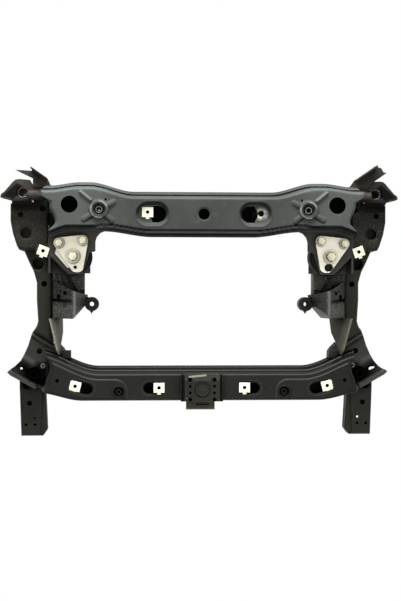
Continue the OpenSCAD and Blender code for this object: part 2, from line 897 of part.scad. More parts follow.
rear_beam_face_shell();
rear_beam_back_shell();
front_beam_face_shell();
front_beam_back_shell();
centre_bracket();
centre_tab();
plate_bolts();
main_bolts();
weld_nuts();
rear_clip_nut();
side_clip_nuts();
front_clip_nuts();
rack_sleeve_right();
rack_sleeve_left();
side_member_face_right();
side_member_face_left();
side_member_back_right();
side_member_back_left();
rear_side_plate_right();
rear_side_plate_left();
corner_box_right();
corner_box_left();
rear_ear_right();
rear_ear_left();
rear_fin_right();
rear_fin_left();
rear_sleeve_right();
rear_sleeve_left();
clip_tab_right();
clip_tab_left();
engine_bracket_right();
engine_bracket_left();
engine_rubber_right();
engine_rubber_left();
strut_right();
strut_left();
arm_bracket_right();
arm_bracket_left();
eye_lug_right();
eye_lug_left();
gusset_right();
gusset_left();
foot_tab_right();
foot_tab_left();
saddle_floor_right();
saddle_floor_left();
front_sleeve_right();
front_sleeve_left();
front_leg_right();
front_leg_left();
leg_back_right();
leg_back_left();
mount_plate_right();
mount_plate_left();
front_saddle_right();
front_saddle_left();
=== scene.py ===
import bpy
import bmesh
from math import hypot, sqrt
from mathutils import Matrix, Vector


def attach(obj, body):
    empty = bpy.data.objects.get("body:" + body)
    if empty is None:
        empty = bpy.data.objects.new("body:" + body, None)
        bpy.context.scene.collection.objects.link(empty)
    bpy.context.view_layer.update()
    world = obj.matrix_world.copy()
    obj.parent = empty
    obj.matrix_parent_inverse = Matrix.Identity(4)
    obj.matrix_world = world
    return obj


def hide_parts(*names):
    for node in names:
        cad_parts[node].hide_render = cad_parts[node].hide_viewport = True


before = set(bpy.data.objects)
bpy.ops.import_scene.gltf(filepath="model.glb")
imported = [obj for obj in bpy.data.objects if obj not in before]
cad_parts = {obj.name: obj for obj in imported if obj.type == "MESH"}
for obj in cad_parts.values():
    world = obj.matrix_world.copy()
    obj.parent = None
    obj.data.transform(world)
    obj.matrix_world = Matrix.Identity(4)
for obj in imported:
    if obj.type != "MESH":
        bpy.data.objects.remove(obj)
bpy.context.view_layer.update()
scene = bpy.context.scene

# Rear beam face: hat section pressed from 3 mm steel sheet and black electro coated.
# Two dished recesses, four armed rack bosses and the weld flanges come from the press tool.
# Press shapes are worked out in millimetres, and the finished meshes are in metres.
sheet = 3
rear_flange_z = 165
rear_face_z = 213
rear_mid_y = 190.5
rack_x, rack_y = 225, 199


# Smooth step from 0 at a to 1 at b
def ease(a, b, x):
    t = min(1.0, max(0.0, (x - a) / (b - a)))
    return t * t * (3 - 2 * t)


# 1 on a line and 0 beyond b from it on both sides
def band(a, b, x):
    return 1 - ease(a, b, abs(x))


# Distance from the edge of a round, a slot or a polygon, negative inside
def disc(cx, cy, r):
    return lambda x, y: hypot(x - cx, y - cy) - r


def bar(x0, y0, x1, y1, r):
    length = hypot(x1 - x0, y1 - y0)
    ux, uy = (x1 - x0) / length, (y1 - y0) / length

    def field(x, y):
        along = min(length, max(0.0, (x - x0) * ux + (y - y0) * uy))
        return hypot(x - x0 - along * ux, y - y0 - along * uy) - r
    return field


def area(points):
    pairs = list(zip(points, points[1:] + points[:1]))

    def field(x, y):
        best, inside = 1e9, False
        for (ax, ay), (bx, by) in pairs:
            ex, ey = bx - ax, by - ay
            t = min(1.0, max(0.0, ((x - ax) * ex + (y - ay) * ey) / (ex * ex + ey * ey)))
            best = min(best, hypot(x - ax - t * ex, y - ay - t * ey))
            if (ay > y) != (by > y) and x < ax + ex * (y - ay) / ey:
                inside = not inside
        return -best if inside else best
    return field


# Height of a face at z with an edge of radius r, at d inside its edge
def shoulder(z, r, d):
    d = min(r, max(0.0, d))
    return z - r + sqrt(r * r - (r - d) ** 2)


# The same face with a steep wall outside its edge
def crest(z, r, d):
    return shoulder(z, r, d) + 8 * min(0.0, d)


# Put a finished bmesh into the scene as the skin of a node
def show(node, bm, angle=0.7):
    mesh = bpy.data.meshes.new(node + "_skin")
    bm.to_mesh(mesh)
    bm.free()
    for face in mesh.polygons:
        face.use_smooth = True
    mesh.set_sharp_from_angle(angle=angle)
    piece = bpy.data.objects.new(node + "_skin", mesh)
    scene.collection.objects.link(piece)
    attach(piece, "root")
    return piece


# Pressed sheet: a grid cut to its outline and holes, lifted to its height, with its rims turned down
def pressing(node, box, step, outline, holes, height, skirt, shade=None):
    x0, y0, x1, y1 = box
    bm = bmesh.new()
    columns, rows = round((x1 - x0) / step), round((y1 - y0) / step)
    bmesh.ops.create_grid(bm, x_segments=columns, y_segments=rows, size=0.5)
    for v in bm.verts:
        v.co.x = x0 + (x1 - x0) * (v.co.x + 0.5)
        v.co.y = y0 + (y1 - y0) * (v.co.y + 0.5)

    def field(x, y):
        return max([outline(x, y)] + [-h(x, y) for h in holes])
    gone = [f for f in bm.faces if field(*f.calc_center_median()[:2]) > 0]
    bmesh.ops.delete(bm, geom=gone, context='FACES')
    for v in bm.verts:
        if v.is_boundary:
            for _ in range(4):
                x, y = v.co.x, v.co.y
                f = field(x, y)
                gx = (field(x + 0.1, y) - field(x - 0.1, y)) / 0.2
                gy = (field(x, y + 0.1) - field(x, y - 0.1)) / 0.2
                g = max(0.3, gx * gx + gy * gy)
                v.co.x -= 0.8 * f * gx / g
                v.co.y -= 0.8 * f * gy / g
    tone = bm.verts.layers.float.new("shade")
    for v in bm.verts:
        v.co.z = height(v.co.x, v.co.y)
        v[tone] = shade(v.co.x, v.co.y) if shade else 0.0
    rim, lips = [], []
    for e in bm.edges:
        if e.is_boundary:
            x, y = (e.verts[0].co + e.verts[1].co)[:2]
            near = min([abs(h(x / 2, y / 2)) for h in holes] + [1e9])
            (rim if abs(outline(x / 2, y / 2)) < near else lips).append(e)
    bmesh.ops.recalc_face_normals(bm, faces=bm.faces)
    if sum(f.normal.z for f in bm.faces) < 0:
        bmesh.ops.reverse_faces(bm, faces=bm.faces)
    # The turned-down rims and the hole lips are painted dark as shade
    for edges, low in ((rim, skirt), (lips, None)):
        if edges:
            grown = bmesh.ops.extrude_edge_only(bm, edges=edges)["geom"]
            for v in grown:
                if isinstance(v, bmesh.types.BMVert):
                    v.co.z = v.co.z - sheet if low is None else min(low, v.co.z - 0.5)
                    v[tone] = -0.8
    bmesh.ops.scale(bm, vec=(0.001, 0.001, 0.001), verts=bm.verts)
    piece = show(node, bm)
    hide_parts(node)
    return piece


def rear_top(x):
    return 242 + 20 * ease(150, 245, abs(x)) - 8 * ease(265, 335, abs(x))


def rear_low(x):
    return 143 + 12 * ease(110, 215, abs(x)) - 13 * ease(290, 338, abs(x))


def rear_end(y):
    return 318 + 11 * ease(176, 208, y) + 15 * ease(172, 152, y) + 20 * ease(214, 226, y)


def rear_outline(x, y):
    a = abs(x)
    end = 332 + 5 * ease(165, 152, y)
    if 219 <= y <= 254:
        end = 334 + 25 * ease(219, 238, y) - 16 * ease(238, 254, y)
    return max(y - rear_top(min(a, 335)), rear_low(x) - y, a - end)


recess = [bar(s * 101.75, rear_mid_y, s * 120.25, rear_mid_y, 27) for s in (-1, 1)]
rack_arm_ends = ((193, 215, 6), (257, 179, 5.5), (197, 176, 5.5))
rack_arms = [bar(rack_x, rack_y, ex, ey, w) for ex, ey, w in rack_arm_ends]
rack_rib = bar(243, 219, 264, 236, 4.4)


def rear_height(x, y):
    a = abs(x)
    t, b = rear_top(a) - y, y - rear_low(a) + 3 * ease(215, 235, a)
    top = rear_flange_z - 0.42 * max(0.0, 6.5 - t) - 1.8 * band(0, 1.6, t - 8)
    top = max(top, crest(rear_face_z, 9, t - 13.5))
    step = crest(180 - 15 * ease(215, 235, a), 2.5, b - 6)
    low = max(rear_flange_z, step, crest(rear_face_z, 3, b - 12.5))
    z = min(top, low, max(rear_flange_z, crest(rear_face_z, 8, rear_end(y) - a)))
    rise = ease(20, 47, z - rear_flange_z)
    d = min(field(x, y) for field in recess)
    z -= 10 * ease(0, 8, -d) - 0.8 * band(0, 3, d)
    r = hypot(a - rack_x, y - rack_y)
    arm = max(ease(-1.5, 3.5, -field(a, y)) for field in rack_arms) * (1 - 0.55 * ease(24, 40, r))
    boss = 6.5 * ease(-2, 3, 21 - r)
    rib = 4.5 * ease(-1, 3.4, -rack_rib(a, y))
    z += rise * max((5 if y > rack_y else 3.5) * arm, boss, rib)
    z -= 7.5 * ease(0, 2.5, 13.5 - r)
    z -= 1.5 * ease(0, 4, 16 - hypot(x, y - rear_mid_y))
    return z


# Painted light and shade on the rear face: dark grooves and walls that face away from the lamp, paler ends,
# lit and shaded recess slopes, highlights on the crests and the boss rims, shadow under the boss feet and
# past the end of the face, and a highlight line on the end
def rear_shade(x, y):
    a = abs(x)
    tail = ease(215, 235, a)
    t, b = rear_top(a) - y, y - rear_low(a) + 3 * tail
    dx, dy = x - (rack_x if x > 0 else -rack_x), y - rack_y
    r = max(hypot(dx, dy), 0.1)
    tone = 0.18 * band(0, 2.5, t - 4.2) - 0.9 * band(1.2, 3, t - 9)
    tone += 0.12 * band(0, 3, t - 18) + 0.13 * ease(150, 240, a)
    dish = min(field(x, y) for field in recess)
    tone += 0.1 * ease(2, 9, -dish) - 0.3 * band(1, 4.5, dish + 3.5) * ease(-14, 6, y - rear_mid_y)
    tone += 0.12 * band(0, 2.5, dish + 2.5) * ease(0, -14, y - rear_mid_y) - 0.2 * band(0, 2, dish - 1)
    tone -= 0.95 * band(1.8, 2.6, b - 12.2) + 0.9 * (1 - tail) * band(1, 1.8, b - 5.8)
    tone += 0.05 * tail * ease(10, 8, b) + 0.1 * (1 - tail) * (ease(4.6, 3.6, b) + band(0.8, 2, b - 8.8))
    lit = max(ease(0.1, 0.6, -(0.75 * dx + 0.66 * dy) / r), ease(0.7, 0.95, (0.6 * dx + 0.8 * dy) / r))
    tone += 0.7 * lit * band(0.6, 1.9, r - 17.6) + 0.35 * lit * band(0.5, 1.6, r - 11.6)
    tone -= 0.85 * band(1, 2.2, r - 9.2) + 0.4 * band(0.5, 2, r - 14)
    for field in rack_arms[1:]:
        tone -= 0.75 * ease(1, -2, field(a, y + 3.5)) * ease(-1.5, 1, field(a, y)) * ease(15, 20, r)
    tone += 0.25 * ease(0, -2.5, rack_rib(a, y))
    tone -= 0.95 * ease(0, 3, a - rear_end(y)) * ease(222, 214, y)
    return tone + 1.2 * band(0.8, 1.8, a - 331) * ease(192, 196, y) * ease(217, 213, y)


rear_holes = [disc(0, rear_mid_y, 12.2)]
for s in (-1, 1):
    rear_holes += [disc(s * 99, rear_mid_y, 17.8), disc(s * 123.8, 192.6, 6.5), disc(s * rack_x, rack_y, 7.8),
                   disc(s * 211, 220.5, 2.8), disc(s * 288, 210, 18.2)]
    rear_holes.append(area([(s * 99, 172.7), (s * 111, 172.7), (s * 111, 208.3), (s * 99, 208.3)]))


# Add a shader node with its settings and socket values
def add(tree, kind, **values):
    made = tree.nodes.new("ShaderNode" + kind)
    for key, value in values.items():
        if hasattr(made, key):
            setattr(made, key, value)
        else:
            made.inputs[key].default_value = value
    return made


def noise(tree, where, scale, detail, roughness):
    made = add(tree, "TexNoise", Scale=scale, Detail=detail, Roughness=roughness)
    tree.links.new(where, made.inputs["Vector"])
    return made.outputs["Fac"]


# Carry a value from the range a to b over to the range low to high
def remap(tree, value, a, b, low=0.0, high=1.0, kind='LINEAR'):
    made = add(tree, "MapRange", interpolation_type=kind)
    for key, end in (("From Min", a), ("From Max", b), ("To Min", low), ("To Max", high)):
        made.inputs[key].default_value = end
    tree.links.new(value, made.inputs["Value"])
    return made.outputs["Result"]


def combine(tree, operation, a, b):
    made = add(tree, "Math", operation=operation)
    tree.links.new(a, made.inputs[0])
    tree.links.new(b, made.inputs[1])
    return made.outputs["Value"]


def tint(tree, amount, colour, other):
    made = add(tree, "Mix", data_type='RGBA')
    tree.links.new(amount, made.inputs["Factor"])
    tree.links.new(colour, made.inputs[6])
    made.inputs[7].default_value = (*other, 1)
    return made.outputs[2]


def paler(colour, gain, lift):
    return tuple(min(1, gain * c + lift) for c in colour)


# Patchy round stain with its middle at x, y
def stain(tree, where, grit, colour, x, y, r, other, strength):
    flat = add(tree, "VectorMath", operation='MULTIPLY')
    flat.inputs[1].default_value = (1, 1, 0)
    tree.links.new(where, flat.inputs[0])
    apart = add(tree, "VectorMath", operation='DISTANCE')
    apart.inputs[1].default_value = (x / 1000, y / 1000, 0)
    tree.links.new(flat.outputs["Vector"], apart.inputs[0])
    inside = remap(tree, apart.outputs["Value"], r / 1000, r / 2500, 0, strength, 'SMOOTHSTEP')
    patchy = remap(tree, grit, 0.3, 0.62, kind='SMOOTHSTEP')
    return tint(tree, combine(tree, 'MULTIPLY', inside, patchy), colour, other)


# Bright wear where the surface turns sharply
def worn_edges(tree, colour, high, wear):
    rounded = add(tree, "Bevel", samples=6)
    rounded.inputs["Radius"].default_value = 0.0022
    plain = add(tree, "NewGeometry")
    same = add(tree, "VectorMath", operation='DOT_PRODUCT')
    tree.links.new(rounded.outputs["Normal"], same.inputs[0])
    tree.links.new(plain.outputs["Normal"], same.inputs[1])
    edge = remap(tree, same.outputs["Value"], 0.985, 0.86, 0, wear, 'SMOOTHSTEP')
    return tint(tree, edge, colour, paler(high, 3.2, 0.05))


# Painted shade: corners and creases are darkened by ambient occlusion and lose their shine, as do the parts
# painted dark
def corner_shade(tree, shader, colour, dark):
    open_air = add(tree, "AmbientOcclusion", samples=4, Distance=0.03).outputs["AO"]
    corner_darkened = add(tree, "Mix", data_type='RGBA', blend_type='MULTIPLY', Factor=1.0)
    tree.links.new(colour, corner_darkened.inputs[6])
    tree.links.new(remap(tree, open_air, 0, 1, 0.25, 1), corner_darkened.inputs[7])
    tree.links.new(corner_darkened.outputs[2], shader.inputs["Base Color"])
    shine = remap(tree, combine(tree, 'MULTIPLY', open_air, open_air), 0, 1, 0, 0.5)
    unshaded = remap(tree, dark, 0, 1, 1, 0)
    tree.links.new(combine(tree, 'MULTIPLY', shine, unshaded), shader.inputs["Specular IOR Level"])


# Uneven polish, fine orange peel and slow waves in the sheet
def uneven(tree, shader, rough, grit, fine, cloud):
    polish = remap(tree, grit, 0.3, 0.75, rough - 0.08, rough + 0.14)
    tree.links.new(polish, shader.inputs["Roughness"])
    peel = add(tree, "Bump", Strength=0.18, Distance=0.0006)
    tree.links.new(fine, peel.inputs["Height"])
    wave = add(tree, "Bump", Strength=0.25, Distance=0.004)
    tree.links.new(cloud, wave.inputs["Height"])
    tree.links.new(peel.outputs["Normal"], wave.inputs["Normal"])
    tree.links.new(wave.outputs["Normal"], shader.inputs["Normal"])


# Coat or bare metal between two colours, with dust, flecks, stains, worn edges, and the light and shade
# painted on the piece
def coat(name, low, high, rough, wear=0.25, spots=(), streak=1.0, flecks=0.0, metal=0.0):
    material = bpy.data.materials.new(name)
    material.use_nodes = True
    tree = material.node_tree
    shader = tree.nodes["Principled BSDF"]
    shader.inputs["IOR"].default_value = 1.22
    shader.inputs["Metallic"].default_value = metal
    where = add(tree, "TexCoord").outputs["Object"]
    stretch = add(tree, "Mapping")
    stretch.inputs["Scale"].default_value = (60, 60 * streak, 60)
    tree.links.new(where, stretch.inputs["Vector"])
    cloud = noise(tree, where, 7.0, 6.0, 0.62)
    grit = noise(tree, stretch.outputs["Vector"], 1.0, 5.0, 0.7)
    ramp = add(tree, "ValToRGB")
    for stop, place, colour in zip(ramp.color_ramp.elements, (0.32, 0.7), (low, high)):
        stop.position = place
        stop.color = (*colour, 1)
    tree.links.new(cloud, ramp.inputs["Fac"])
    dust = remap(tree, grit, 0.52, 0.8, 0, 0.5, 'SMOOTHSTEP')
    colour = tint(tree, dust, ramp.outputs["Color"], paler(high, 1.6, 0.012))
    if flecks:
        grain = noise(tree, where, 250.0, 3.0, 0.6)
        chips = remap(tree, grain, 0.51, 0.65, 0, flecks, 'SMOOTHSTEP')
        colour = tint(tree, chips, colour, paler(high, 4, 0.1))
    for spot in spots:
        colour = stain(tree, where, grit, colour, *spot)
    if wear:
        colour = worn_edges(tree, colour, high, wear)
    # The shade attribute holds painted highlights and painted shade, with a few wear marks: above 0 the
    # colour turns paler, below 0 near black
    tone = add(tree, "Attribute", attribute_name="shade").outputs["Fac"]
    colour = tint(tree, remap(tree, tone, 0, 1), colour, paler(high, 4, 0.09))
    dark = remap(tree, tone, 0, -1)
    colour = tint(tree, dark, colour, (0.0025, 0.0025, 0.0022))
    # Painted shade in corners, and no shine there or where shade is painted
    corner_shade(tree, shader, colour, dark)
    uneven(tree, shader, rough, grit, noise(tree, where, 900.0, 2.0, 0.5), cloud)
    return material


# The rear face's coat is paler than the front beam's: painted light, for the bright reflection the rear face
# catches
beam_coat = coat("beam_coat", (0.0385, 0.0425, 0.039), (0.0615, 0.067, 0.0615), 0.42, 0.3,
                 [(124.8, 191.8, 17, (0.85, 0.82, 0.68), 1.0)])
piece = pressing("rear_beam_face_shell", (-360, 140, 360, 264), 1.6, rear_outline, rear_holes, rear_height,
                 rear_flange_z - sheet, rear_shade)
piece.data.materials.append(beam_coat)

# Rear beam back: shallow pan spot welded below the face, closes the box section.
# Same coated sheet; only its flange and its lower side show.


# Skin of a node: its solid with small rounded edges, cut into a grid where it has a shade
def skin(node, small, angle=0.7, segments=2, shade=None, step=2.0):
    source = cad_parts[node]
    bm = bmesh.new()
    bm.from_mesh(source.data)
    bm.transform(source.matrix_world)
    bmesh.ops.remove_doubles(bm, verts=bm.verts, dist=2e-5)
    bmesh.ops.dissolve_limit(bm, angle_limit=0.03, verts=bm.verts, edges=bm.edges,
                             use_dissolve_boundaries=False)
    edges = [e for e in bm.edges if len(e.link_faces) == 2 and e.calc_face_angle(0) > angle]
    bmesh.ops.bevel(bm, geom=edges, offset=small, affect='EDGES', segments=segments, profile=0.5, material=-1,
                    clamp_overlap=True)
    if shade:
        for axis in (0, 1):
            at = min(v.co[axis] for v in bm.verts) + step / 1000
            end = max(v.co[axis] for v in bm.verts)
            while at < end:
                bmesh.ops.bisect_plane(bm, geom=bm.verts[:] + bm.edges[:] + bm.faces[:], dist=1e-6,
                                       plane_co=(at, at, 0), plane_no=(1 - axis, axis, 0))
                at += step / 1000
        tone = bm.verts.layers.float.new("shade")
        for v in bm.verts:
            v[tone] = shade(1000 * v.co.x, 1000 * v.co.y, 1000 * v.co.z)
    piece = show(node, bm, 0.6)
    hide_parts(node)
    return piece


def finish_piece(piece, material):
    piece.data.materials.clear()
    piece.data.materials.append(material)


# Painted shade: the back shell is painted near black between its floor and its flange, as shade inside the
# closed box
def box_inside_shade(x, y, z):
    return -0.9 if 141 < z < 160 else 0.0


finish_piece(skin("rear_beam_back_shell", 0.0008, shade=box_inside_shade, step=20), beam_coat)

# Rack sleeves: turned steel spacer tubes through the rear beam, bright on their end faces.
# They stand in the boss wells and carry the steering rack bolts.
sleeve_steel = coat("sleeve_steel", (0.03, 0.029, 0.026), (0.09, 0.085, 0.075), 0.35, 0.6, metal=0.6)


# The end face of each rack sleeve is painted pale as bare steel; its bore and its length below the end face
# are painted near black as shade
def collar_shade(x, y, z):
    r = hypot(abs(x) - rack_x, y - rack_y)
    return (0.8 if r > 5.4 else -0.95) * ease(195, 200, z) - 0.95 * ease(200, 195, z)


for side in ("right", "left"):
    piece = skin("rack_sleeve_" + side, 0.0008, shade=collar_shade, step=1.5)
    for v in piece.data.vertices:
        dx, dy = v.co.x - (rack_x if v.co.x > 0 else -rack_x) / 1000, v.co.y - rack_y / 1000
        if hypot(dx, dy) < 0.0047:
            v.co.x -= 0.22 * dx
            v.co.y -= 0.22 * dy
    finish_piece(piece, sleeve_steel)

# Front beam face: hat section with a stepped rear wall, four slots and two dimples; its coat is darker than
# the rear face's, which carries painted light.
# A low raised pad at each end stiffens it round the slot and the dimple.
front_flange_z = 115
front_face_z = 157
dimple_x, dimple_y = 182, -195
slot_ends = ((95.75, -187, 116.25, -187), (250.4, -188, 275.6, -182))
slot_r = 12
front_slots = [bar(*ends, slot_r) for ends in slot_ends]


def front_top(x):
    return -140 + 44 * ease(225, 365, abs(x))


def front_low(x):
    return -217 + 18 * ease(262, 362, abs(x)) + 7 * ease(342, 360, abs(x))


def front_end(y):
    return 334 + 9 * ease(-142, -115, y) + 10 * ease(-142, -178, y) + 15 * ease(-178, -192, y)


def front_outline(x, y):
    corner = hypot(max(0, abs(x) - 331), max(0, y - front_top(abs(x)) + 14)) - 14 if y > -150 else -14
    return max(y - front_top(x), front_low(x) - y, abs(x) - front_end(y), corner)


def front_pad(a, t):
    if a < 190 and t < 54:
        return 27 - hypot(a - 190, t - 54)
    return min(t - 27, a - 163)


def front_height(x, y):
    a = abs(x)
    t, b = front_top(a) - y, y - front_low(a)
    z = front_flange_z - 0.42 * max(0.0, 5 - t) - 1.6 * band(0, 1.4, t - 6.4)
    z = max(z, crest(135, 5, t - 7), crest(front_face_z, 7, t - 14.5))
    walls = min(crest(front_face_z, 2.5, b - 3.5), crest(front_face_z, 5, front_end(y) - 3 - a))
    z = min(z, max(front_flange_z, walls))
    z -= 40 * ease(342, 358, a)
    z += 2.6 * ease(-1, 3, front_pad(a, t)) * ease(0, 6, front_end(y) - 5 - a) * ease(4, 8, b)
    r = hypot(a - dimple_x, y - dimple_y)
    z += 1.4 * ease(-2, 2, 15 - r)
    z -= 8 * ease(0, 5, 12 - r)
    z -= 1.2 * max(ease(0, 4, 4 - field(a, y)) for field in front_slots)
    return z


# Painted light and shade on the front face: highlight lines on the flange and ledge edges with dark grooves
# between them, highlights on the pad rim, the slot rims, the dimple middle and the lower edge at the ends,
# and shade round the dimple and past the end of the face
def front_shade(x, y):
    a = abs(x)
    t, b = front_top(a) - y, y - front_low(a)
    tone = 0.5 * band(0, 2, t - 3.8) - 0.95 * band(1, 2.2, t - 6.8)
    tone += 0.6 * band(0, 2.2, t - 9.6) - 0.5 * band(0.8, 2.2, t - 13.5)
    tone += 0.22 * band(0, 2.6, t - 17.8)
    r = hypot(a - dimple_x, y - dimple_y)
    tone -= 0.5 * band(1, 4, r - 8.5)
    tone -= 0.9 * ease(4, 1, front_end(y) - a) * ease(-120, -128, y) * ease(-190, -182, y)
    tone += 0.28 * band(0, 2.2, front_pad(a, t) - 1) * ease(4, 8, b) * ease(0, 8, front_end(y) - 8 - a)
    rim = min(field(a, y) for field in front_slots)
    tone += 0.16 * band(0, 2, rim - 4) + 0.35 * band(0.5, 2.4, r - 5)
    return tone + 0.35 * ease(2.5, 0.5, b) * ease(285, 310, a)


front_holes = []
for s in (-1, 1):
    front_holes += [bar(s * x0, y0, s * x1, y1, slot_r) for x0, y0, x1, y1 in slot_ends]
    front_holes += [disc(s * dimple_x, dimple_y, 3.2), disc(s * 316, -170, 4.4)]
# Plain black coat, darker than the rear face's coat, which has painted light in it
front_coat = coat("front_coat", (0.0055, 0.006, 0.0044), (0.0118, 0.0127, 0.0094), 0.4, 0.3)
piece = pressing("front_beam_face_shell", (-362, -224, 362, -94), 1.6, front_outline, front_holes,
                 front_height, front_flange_z - sheet, front_shade)
finish_piece(piece, front_coat)

# Front beam back: deep closing pan below the front face, stands on the saddles.
# Pressed and coated like the face.
finish_piece(skin("front_beam_back_shell", 0.0008), front_coat)

# Side members: long pressed boxes at both sides, face half and back half seam welded.
# The face curves out towards the rear mount and holds a round socket.
side_face_z = 80
socket_x, socket_y = 363, 86
side_points = [(329, -95), (375, -66), (367, -55), (363, -43), (366, 6), (366, 45), (373, 70), (383, 90),
               (394, 115), (404, 118), (409, 127), (418, 155), (423, 182), (423, 219), (418, 224), (372, 224),
               (372, 237), (337, 237), (329, 229)]
side_coat = coat("side_coat", (0.013, 0.013, 0.01), (0.0315, 0.0315, 0.024), 0.42, 0.2)


# Box round a piece on the side s, from its place on the right
def side_box(s, x0, y0, x1, y1):
    return (min(s * x0, s * x1), y0, max(s * x0, s * x1), y1)


for side, s in (("right", 1), ("left", -1)):
    shape = area([(s * x, y) for x, y in side_points])
    holes = [disc(s * socket_x, socket_y, 12.5), disc(s * 349, 42, 6.8)]

    def side_height(x, y):
        z = shoulder(side_face_z, 9, -shape(x, y))
        return z - 3 * ease(0, 4, 16.5 - hypot(x - s * socket_x, y - socket_y))
    box = side_box(s, 328, -98, 424, 238)
    piece = pressing("side_member_face_" + side, box, 2, shape, holes, side_height, 55)
    finish_piece(piece, side_coat)
    finish_piece(skin("side_member_back_" + side, 0.0008), side_coat)

# Rear side plates: raised pans welded on the side members below the rear mounts.
# Dusty, with locating holes and a rolled outer edge.
pan_face_z = 100
pan_hole_x, pan_hole_y = 389, 155
pan_points = [(337, 117), (396, 117), (404, 118), (409, 127), (418, 155), (423, 182), (423, 219), (418, 224),
              (372, 224), (372, 237), (337, 237)]
pan_coat = coat("pan_coat", (0.009, 0.0085, 0.006), (0.024, 0.0225, 0.0165), 0.46, 0.2, flecks=0.22)
for side, s in (("right", 1), ("left", -1)):
    shape = area([(s * x, y) for x, y in pan_points])
    holes = [disc(s * 400, 196, 6.5), disc(s * 351, 209, 7.3), disc(s * pan_hole_x, pan_hole_y, 12.4)]

    def pan_height(x, y):
        z = shoulder(pan_face_z, 7, -shape(x, y))
        return z - 2 * ease(0, 5, 18 - hypot(x - s * pan_hole_x, y - pan_hole_y))

    # Painted shadow: a dark band under the ear and along the inner edge of the pan
    def pan_shade(x, y):
        return -0.6 * ease(200, 209, y) * ease(345, 352, abs(x)) - 0.5 * ease(6, 0, abs(x) - 337)
    box = side_box(s, 336, 116, 424, 238)
    piece = pressing("rear_side_plate_" + side, box, 2, shape, holes, pan_height, 80, pan_shade)
    finish_piece(piece, pan_coat)

# Corner boxes: upright welded boxes that carry the ends of the rear beam.
# Plain coated sheet, mostly hidden.
for side in ("right", "left"):
    finish_piece(skin("corner_box_" + side, 0.001), side_coat)

# Rear mounts: ear with the mount hole, fin on top of it and a thick sleeve tube below.
# Welded sheet that has started to rust brown at the welds.
ear_coat = coat("ear_coat", (0.022, 0.0205, 0.018), (0.06, 0.056, 0.048), 0.5, 0.3,
                [(s * x, y, r, (0.085, 0.062, 0.042), 0.8) for s in (-1, 1)
                 for x, y, r in ((372, 246, 26), (350, 250, 22), (345, 262, 20))])
ear_cup = area([(407, 263), (440, 234), (415, 228), (396, 240), (396, 258)])


# Painted shade in the ear's cup, round the sleeve and along the lower outer edge
def ear_shade(x, y, z):
    a = abs(x)
    tone = -0.85 * ease(3, -3, ear_cup(a, y)) - 0.6 * (1 - ease(10, 16, hypot(a - 393, y - 243)))
    return tone - 0.5 * ease(231, 227, y) * ease(424, 416, a)


# The rear sleeve is painted paler from 90 mm up: its bare steel, with painted light where light falls into
# the top of its bore
def sleeve_shade(x, y, z):
    return ease(90, 104, z)


for side in ("right", "left"):
    finish_piece(skin("rear_ear_" + side, 0.0012, shade=ear_shade), ear_coat)
    finish_piece(skin("rear_fin_" + side, 0.001), ear_coat)
    finish_piece(skin("rear_sleeve_" + side, 0.001, shade=sleeve_shade, step=4), sleeve_steel)

# Clip tabs: small flat plates welded to the outer edge of the engine brackets.
# Cut from coated sheet; each holds one pale clip nut.
for side in ("right", "left"):
    finish_piece(skin("clip_tab_" + side, 0.0008), pan_coat)

# Engine brackets: folded plates below the rear beam with an outer wall and a lower plate.
# They carry the rubber mounts; struts brace them against the arm brackets.
# The bracket coat is paler than the side coat: partly dust, partly painted light that makes up for the rear
# beam's shadow on the top plate
bracket_coat = coat("bracket_coat", (0.046, 0.0455, 0.041), (0.1, 0.098, 0.088), 0.46, 0.2)
rough_coat = coat("rough_coat", (0.011, 0.011, 0.0085), (0.027, 0.027, 0.0205), 0.42, 0.25, flecks=0.7)
strut_bar = area([(287.5, 57), (272, 30), (259, 32), (261, 68), (279, 68)])
strut_rim = bar(316, 68, 311, 50, 1.5)


# Painted light and shade on the strut box: the whole top lifted to make up for the ridge's shadow, the
# slanted bar paler with highlight edges, a highlight on the rim and shade in the gap round the bar
def strut_shade(x, y, z):
    a = abs(x)
    d = strut_bar(a, y)
    tone = 0.13 + 0.15 * ease(0, -3, d) + 0.35 * band(0.4, 1.8, d)
    return tone + 0.25 * ease(1, -1, strut_rim(a, y)) - 0.6 * ease(1, 4, d) * ease(12, 4, d)


for side in ("right", "left"):
    finish_piece(skin("engine_bracket_" + side, 0.001), bracket_coat)
    finish_piece(skin("strut_" + side, 0.003, shade=strut_shade), rough_coat)

# Rubber engine mounts: thick round bodies moulded from black rubber, below the mount plates.
# The main bolts run down through their middles and hold them.
rubber = coat("rubber", (0.006, 0.006, 0.006), (0.012, 0.012, 0.012), 0.62, 0)
for side in ("right", "left"):
    finish_piece(skin("engine_rubber_" + side, 0.003), rubber)

# Mount plates: cast aluminium rounded triangles, dull oxide skin, held by three bolts.
# The left one has a thin folded wing.
alloy = coat("alloy", (0.49, 0.465, 0.37), (0.78, 0.745, 0.6), 0.45, 0.8, metal=0.85)
small_bolts = ((312, 130), (260.5, 135.5))
main_bolt = (282, 101)


# Painted light and shade on the mount plates: the right plate paler and the left darker, a dark ring of dirt
# round each bolt deepened on its sheltered side as painted shadow, and a painted dark disc round the hole at
# the bottom, wider on the right, as shade in the hole
def plate_shade(x, y, z):
    a = abs(x)
    tone = 0.12 if x > 0 else -0.1
    for (bx, by), r in ((small_bolts[0], 10.5), (small_bolts[1], 10.5), (main_bolt, 15)):
        d = hypot(a - bx, y - by)
        lee = ease(-0.5, 0.8, ((bx - a) * 0.8 + (by - y) * 0.6) / max(d, 1))
        tone -= (0.3 + 0.35 * lee) * band(0, 1.5 + 2 * lee, d - r - 1)
    from_hole = hypot(a - (280 if x > 0 else 276.5), y - 77)
    return tone - (0.97 * (1 - ease(7.6, 9, from_hole)) if x > 0 else 0.9 * (1 - ease(3.2, 4.6, from_hole)))


